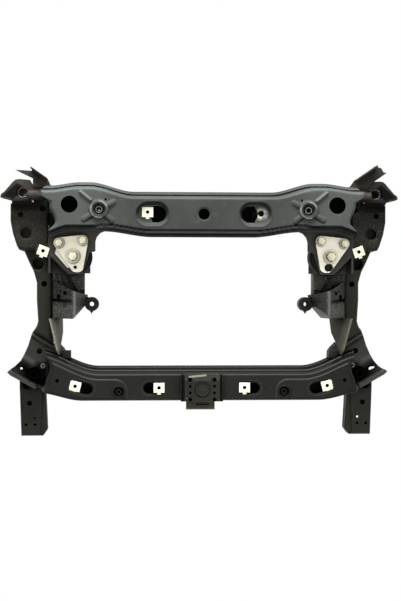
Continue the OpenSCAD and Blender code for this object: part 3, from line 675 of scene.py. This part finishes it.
for side in ("right", "left"):
    finish_piece(skin("mount_plate_" + side, 0.0015, shade=plate_shade, step=1.5), alloy)

# Bolts: cold headed steel flange bolts, zinc plated with a yellowish skin.
# Four small ones hold the mount plates, and two large ones the rubber mounts.
zinc = coat("zinc", (0.42, 0.4, 0.25), (0.7, 0.67, 0.48), 0.34, 0.6, metal=0.85)


# Painted light and shade on the bolt heads: paler on the side towards the light, darker on the sheltered
# side, and shade on the flange round the hex
def bolt_shade(x, y, z):
    a = abs(x)
    heads = [(*place, 1) for place in small_bolts] + [(*main_bolt, 0.8)]
    d, bx, by, k = min((k * hypot(a - bx, y - by), bx, by, k) for bx, by, k in heads)
    lee = k * ((bx - a) * 0.8 + (by - y) * 0.6)
    tone = 0.15 * ease(-1, -5, lee) - 0.3 * ease(1, 5, lee)
    return tone - 0.5 * ease(177, 174, z) * ease(10, 8.6, d)


for node in ("plate_bolts", "main_bolts"):
    finish_piece(skin(node, 0.0007, shade=bolt_shade, step=1.5), zinc)

# Arm brackets: ridged boxes folded from sheet and welded to the side members, chipped along the ridge.
# A forged eye lug is welded to the end of each.
ridge_z = 178
eye_x, eye_y = 242, -3.4


# Arm bracket marks: the ridge pale as chipped coat; painted shade on the inner face, in a dark slit for the
# pocket and in a dark spot for a dimple; the lower flange paler and the hole panel darker
def arm_shade(x, y, z):
    a = abs(x)
    tone = ease(ridge_z - 8, ridge_z - 4, z) - 0.25 * ease(275, 272, a)
    tone -= 0.9 * band(2, 6, y - 3 - 0.08 * (a - 300)) * ease(281, 287, a)
    tone += 0.16 * ease(-4, -9, y) * ease(279, 283, a) - 0.35 * ease(3, 8, y) * ease(281, 287, a)
    return tone - 0.5 * (1 - ease(3, 8, hypot(a - 301, y + 6)))


# Painted light and shade on the eye lug: a highlight on the rim and shade in the eye
def eye_shade(x, y, z):
    d = hypot(abs(x) - eye_x, y - eye_y)
    return 0.12 * band(0, 3, d - 16) - 0.5 * (1 - ease(5, 9, d))


for side in ("right", "left"):
    finish_piece(skin("arm_bracket_" + side, 0.0015, shade=arm_shade), rough_coat)
    finish_piece(skin("eye_lug_" + side, 0.002, shade=eye_shade), side_coat)

# Gussets: upright leaning sheets from the arm brackets to the front beam, coat worn to an olive grey.
# A folded foot tab stands beside each on the beam flange.
bare_sheet = coat("bare_sheet", (0.055, 0.05, 0.034), (0.15, 0.14, 0.1), 0.5, 0.5, (), 0.15)


# Painted light and shade on the gussets: a highlight along the upper edge, a darker band lower down, and the
# right gusset darker all over
def gusset_shade(x, y, z):
    crest_line = 158 + 0.17 * (y + 35)
    tone = 0.35 * ease(-7, -3, z - crest_line) - 0.25 * band(8, 30, z - crest_line + 60)
    return tone - (0.25 if x > 0 else 0)


for side in ("right", "left"):
    finish_piece(skin("gusset_" + side, 0.0008, shade=gusset_shade), bare_sheet)
    finish_piece(skin("foot_tab_" + side, 0.001), side_coat)

# Front saddles: curved pressings that spread from the side member to the front mount pocket.
# A folded strip stiffens the front edge; floor, sleeve and weld nut sit inside or on them.
saddle_coat = coat("saddle_coat", (0.0145, 0.0145, 0.0125), (0.034, 0.034, 0.029), 0.38, 0.25,
                   [(s * x, y, 15, (0.1, 0.085, 0.052), 0.8) for s in (-1, 1)
                    for x, y in ((338, -92), (352, -84), (367, -75))])
saddle_z = 70
saddle_points = [(300, -185), (345, -195), (373, -193), (425, -164), (432, -157), (427, -152), (418, -146),
                 (403, -132), (395, -118), (386, -98), (378, -72), (375, -66), (329, -95), (318, -91),
                 (306, -103), (300, -112)]


# Distance behind the folded front edge
def across(x, y):
    return (421.5 - abs(x)) * 0.487 + (y + 157.7) * 0.873


# Distance past the line where the saddle meets the side member
def saddle_lip(x, y):
    return (abs(x) - 329) * -0.533 + (y + 95) * 0.846


# Painted shade: the front sleeve is painted near black, as it sits in the shade of the mount pocket
def sleeve_painted_shade(x, y, z):
    return -0.9


for side, s in (("right", 1), ("left", -1)):
    shape = area([(s * x, y) for x, y in saddle_points])
    holes = [disc(s * 369, -163, 18), disc(s * 360, -110, 6.8), disc(s * 352, -143, 2.5)]
    holes.append(bar(398, -151.8, 406, -148.2, 3.4) if s > 0 else disc(-402, -150, 3))

    def saddle_height(x, y):
        q = across(x, y)
        z = saddle_z - 20 * (1 - ease(10, 42, q)) - 5 * ease(50, 95, q)
        z = min(z, shoulder(saddle_z, 5, -shape(x, y)))
        z += 5 * ease(-10, -6, saddle_lip(x, y)) * ease(0, 3, -shape(x, y))
        return max(z, 78 * ease(4, 1.5, q) * ease(362, 368, abs(x)))

    # Painted light and shade on the saddle: highlight lines on the folded strip, a highlight band on the
    # roll, shade in the mount pocket and next to the beam end, and a paler upper lip with a dark line below
    # it
    def saddle_shade(x, y):
        a, q, lip = abs(x), across(x, y), saddle_lip(x, y)
        tone = 0.2 * band(0, 3, q + 5) + 0.3 * band(0, 1.8, q - 1)
        tone += 0.05 + 0.2 * band(2, 11, q - 43) * ease(366, 378, a) * ease(402, 392, a)
        tone -= 0.95 * ease(2, 5, q) * ease(30, 18, q) * ease(406, 388, a)
        tone -= 0.95 * ease(2, 5, q) * ease(374, 362, a) * ease(-132, -142, y)
        return tone + 0.2 * ease(-10, -7, lip) - 0.8 * band(0, 3, lip + 12)
    box = side_box(s, 299, -198, 433, -64)
    piece = pressing("front_saddle_" + side, box, 2, shape, holes, saddle_height, 36, saddle_shade)
    finish_piece(piece, saddle_coat)
    finish_piece(skin("saddle_floor_" + side, 0.0008), side_coat)
    piece = skin("front_sleeve_" + side, 0.001, shade=sleeve_painted_shade, step=8)
    finish_piece(piece, side_coat)
nut_steel = coat("nut_steel", (0.11, 0.11, 0.1), (0.24, 0.235, 0.21), 0.4, 0.4)
finish_piece(skin("weld_nuts", 0.0006), nut_steel)

# Front legs: pressed channels of coated sheet that run forward below the saddles.
# A flat back plate closes each one from below.
leg_face_z = 33
leg_points = [(344, -292), (354, -306), (404, -306), (408, -196), (408, -167), (390, -145), (351, -145),
              (347, -240)]


# Distance outside the fold along the inner edge
def leg_fold(x, y):
    return abs(x) - 357 + 0.04 * (y + 210)


for side, s in (("right", 1), ("left", -1)):
    shape = area([(s * x, y) for x, y in leg_points])
    holes = [disc(s * 374, -163, 12.4), disc(s * 390, -189, 11), disc(s * 385, -231, 6.2),
             disc(s * 373, -265, 2.9), disc(s * 372.5, -280, 3.5), disc(s * 393, -280, 3.7)]

    def leg_height(x, y):
        return min(shoulder(leg_face_z, 5, -shape(x, y)), leg_face_z - 0.6 * max(0.0, -leg_fold(x, y)))

    # Painted light and shade on the front leg: one side of the fold slightly paler, shade along the fold, and
    # painted shadow on the part under the saddle
    def leg_shade(x, y):
        fold = leg_fold(x, y)
        return 0.06 * ease(0, -4, fold) - 0.4 * band(0, 2.5, fold + 1) - 0.5 * ease(-205, -190, y)
    box = side_box(s, 343, -307, 409, -144)
    piece = pressing("front_leg_" + side, box, 2, shape, holes, leg_height, 3, leg_shade)
    finish_piece(piece, side_coat)
    finish_piece(skin("leg_back_" + side, 0.0006), side_coat)

# Centre bracket: folded plate on the front beam with two rows of holes, and a tab below it.
# Handled a lot: brownish, bright at its corners.
worn_coat = coat("worn_coat", (0.009, 0.0087, 0.0065), (0.026, 0.025, 0.018), 0.42, 0.45)
tab_coat = coat("tab_coat", (0.055, 0.051, 0.036), (0.13, 0.122, 0.088), 0.45, 0.6)
top_highlight = bar(-28, -161.5, 8, -158.5, 1.4)
crease = bar(-23, -168, 17, -168, 0.8)
tab_slot = bar(-9, -227, 18, -226, 1.5)


# Centre bracket marks: a painted highlight streak on the sloped top and along the crease, painted shade in
# the holes, bright worn specks by the corner holes, a dark ring round the embossed circle and dark bands at
# the sides
def centre_shade(x, y, z):
    a = abs(x)
    tone = 1.3 * ease(1, -0.6, top_highlight(x, y)) + 0.3 * ease(1, -0.6, crease(x, y))
    for by, r in ((-167.4, 4.4), (-181.8, 3.2), (-196.2, 3.2), (-210.6, 4.2)):
        tone -= 1.5 * (1 - ease(r - 1, r + 0.8, hypot(a - 26.5, y - by)))
    for bx, by in ((-36, -167), (33.5, -166.5), (-34, -208)):
        tone += 0.7 * (1 - ease(0.5, 3, hypot(x - bx, 1.6 * (y - by))))
    tone -= 0.75 * band(0.6, 2.2, hypot(x, y + 188.5) - 16)
    return tone - 0.8 * band(1, 4, a - 43)


def tab_shade(x, y, z):
    return 0.35 * ease(-234, -238, y) - 0.9 * ease(1, -0.6, tab_slot(x, y))


finish_piece(skin("centre_bracket", 0.001, shade=centre_shade, step=1.2), worn_coat)
finish_piece(skin("centre_tab", 0.001, shade=tab_shade, step=1.5), tab_coat)

# Clip nuts: folded spring steel nuts, pale zinc plated, pushed over the edge of a hole.
# One sits in the rear beam, two on the clip tabs and four in the front beam slots.
clip_zinc = coat("clip_zinc", (0.86, 0.85, 0.64), (0.97, 0.96, 0.78), 0.45, 0.1, metal=0.8)
for node in ("rear_clip_nut", "side_clip_nuts", "front_clip_nuts"):
    finish_piece(skin(node, 0.0005), clip_zinc)

# Floor: a sheet of white paper just below the frame, not a piece of the object.
# It shows plain white, with shade painted into it from ambient occlusion only in tight places such as the
# sleeve bores.
floor_half = 3
floor_gap = 0.0005
mesh = bpy.data.meshes.new("floor")
bm = bmesh.new()
bmesh.ops.create_grid(bm, x_segments=1, y_segments=1, size=floor_half)
bmesh.ops.translate(bm, vec=(0, 0, -floor_gap), verts=bm.verts)
bm.to_mesh(mesh)
bm.free()
floor = bpy.data.objects.new("floor", mesh)
scene.collection.objects.link(floor)


# Show the second shader to the eye, to metal and to glass, and the first to all other light
def shown(tree, lighting, seen, output):
    path = add(tree, "LightPath")
    rays = path.outputs["Is Camera Ray"]
    for ray in ("Is Glossy Ray", "Is Transmission Ray"):
        rays = combine(tree, 'MAXIMUM', rays, path.outputs[ray])
    mix = add(tree, "MixShader")
    tree.links.new(rays, mix.inputs["Fac"])
    tree.links.new(lighting, mix.inputs[1])
    tree.links.new(seen, mix.inputs[2])
    tree.links.new(mix.outputs["Shader"], tree.nodes[output].inputs["Surface"])


floor_paper = bpy.data.materials.new("floor_paper")
floor_paper.use_nodes = True
tree = floor_paper.node_tree
shader = tree.nodes["Principled BSDF"]
shader.inputs["Base Color"].default_value = (0.1, 0.1, 0.1, 1)
shader.inputs["Roughness"].default_value = 1
shader.inputs["Specular IOR Level"].default_value = 0
open_air = add(tree, "AmbientOcclusion", Distance=0.03).outputs["AO"]
white = add(tree, "Emission")
tree.links.new(remap(tree, open_air, 0.12, 0.35), white.inputs["Strength"])
shown(tree, shader.outputs["BSDF"], white.outputs["Emission"], "Material Output")
mesh.materials.append(floor_paper)

# Studio: white surroundings that light the frame more from above and behind than from below.
# A broad lamp stands beyond the rear beam, and a weaker one hangs above the front.
world = bpy.data.worlds.new("world")
scene.world = world
world.use_nodes = True
tree = world.node_tree
ambient = tree.nodes["Background"]
ambient.inputs["Color"].default_value = (1, 1, 1, 1)
height = add(tree, "VectorMath", operation='DOT_PRODUCT')
height.inputs[1].default_value = (0, 0.6, 0.8)
tree.links.new(add(tree, "TexCoord").outputs["Generated"], height.inputs[0])
tree.links.new(remap(tree, height.outputs["Value"], -0.3, 1, 0.08, 0.5), ambient.inputs["Strength"])
paper = add(tree, "Background")
paper.inputs["Color"].default_value = (1, 1, 1, 1)
shown(tree, ambient.outputs["Background"], paper.outputs["Background"], "World Output")
aim = Vector((0, 0, 0.1))
lamps = (("key", 130, 2.4, 0.6, (-0.25, 2.3, 1.1)), ("fill", 15, 1.6, 1.6, (0.1, -0.5, 2.6)))
for name, power, wide, deep, spot in lamps:
    lamp = bpy.data.lights.new(name, 'AREA')
    lamp.energy = power
    lamp.shape = 'RECTANGLE'
    lamp.size = wide
    lamp.size_y = deep
    holder = bpy.data.objects.new(name, lamp)
    scene.collection.objects.link(holder)
    holder.location = spot
    holder.rotation_euler = (aim - holder.location).to_track_quat('-Z', 'Y').to_euler()

# Camera: looks down almost square on the frame from a little to the left of its middle.
# The sideways shift is only what the framing of the picture needs.
lens = bpy.data.cameras.new("camera")
lens.lens = 65.246
lens.sensor_width = 36
lens.shift_x = 30 / 601
camera = bpy.data.objects.new("camera", lens)
scene.collection.objects.link(camera)
camera.location = (-0.19776, 0.01725, 2.53767)
camera.rotation_euler = (-0.0052, -0.054, 0.0013)
scene.camera = camera
scene.view_settings.view_transform = 'Standard'
